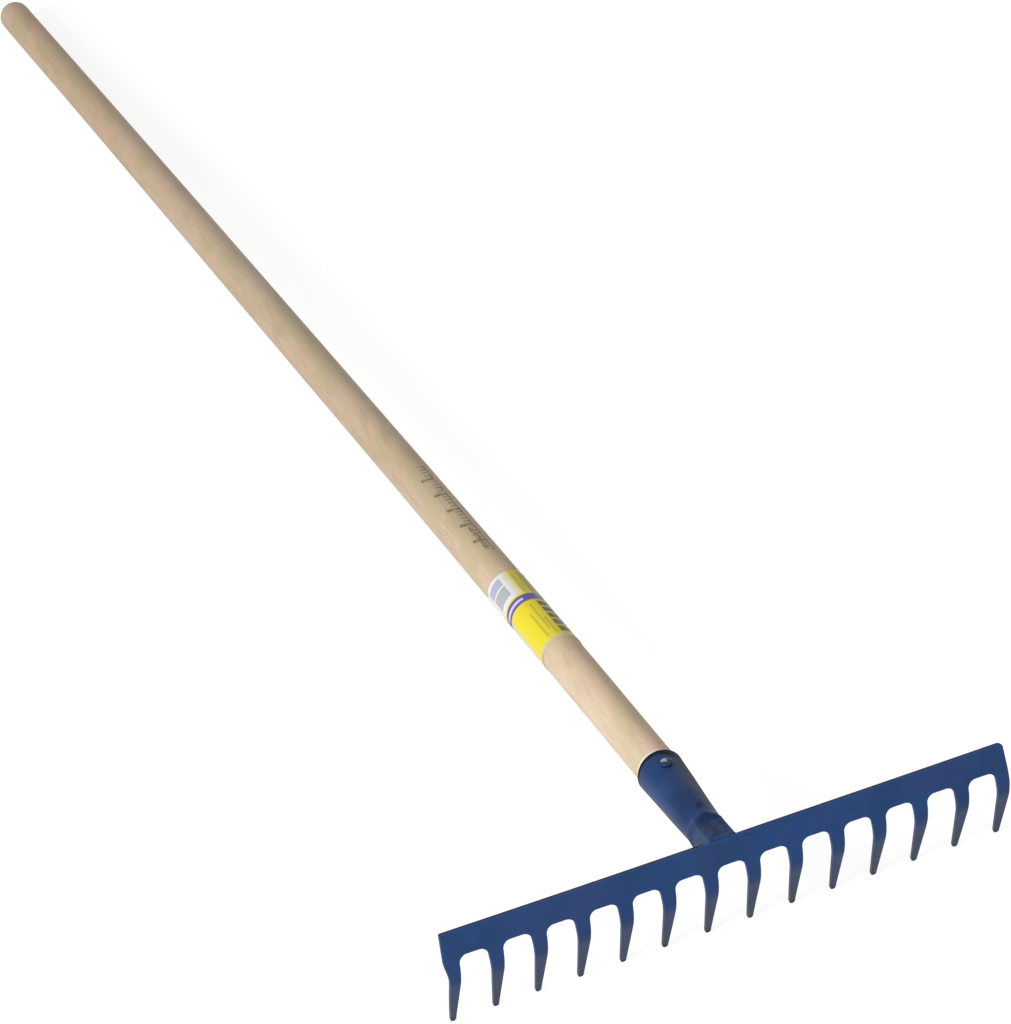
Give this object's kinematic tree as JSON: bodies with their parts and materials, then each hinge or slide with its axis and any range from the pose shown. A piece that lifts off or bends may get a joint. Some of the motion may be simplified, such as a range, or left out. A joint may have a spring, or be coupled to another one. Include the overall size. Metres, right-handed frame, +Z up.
{
  "type": "garden rake",
  "caption": "Garden rake: a pressed steel bar with curved, tapering tines, welded to a tapered socket that holds a long straight wooden handle.",
  "frame": {"origin": "middle of the rake's footprint, at the level that the tine tips and the butt of the handle rest on", "axes": "+Y from the head towards the butt of the handle, +X along the bar, +Z up"},
  "size_m": [0.3788, 1.533, 0.0825],
  "materials": {
    "painted_steel": "dark blue enamel, satin gloss",
    "painted_socket": "dark blue enamel, satin gloss",
    "beech": "turned and sanded beech, thin clear coat",
    "bright_steel": "bright nail head",
    "label_print": "printed film, yellow with plain colour blocks"
  },
  "bodies": {
    "root": {"rake_head": "painted_steel", "weld_left": "painted_steel", "weld_top": "painted_steel", "weld_right": "painted_steel", "socket": "painted_socket", "handle": "beech", "handle_nail": "bright_steel", "label": "label_print"}
  },
  "joints": []
}
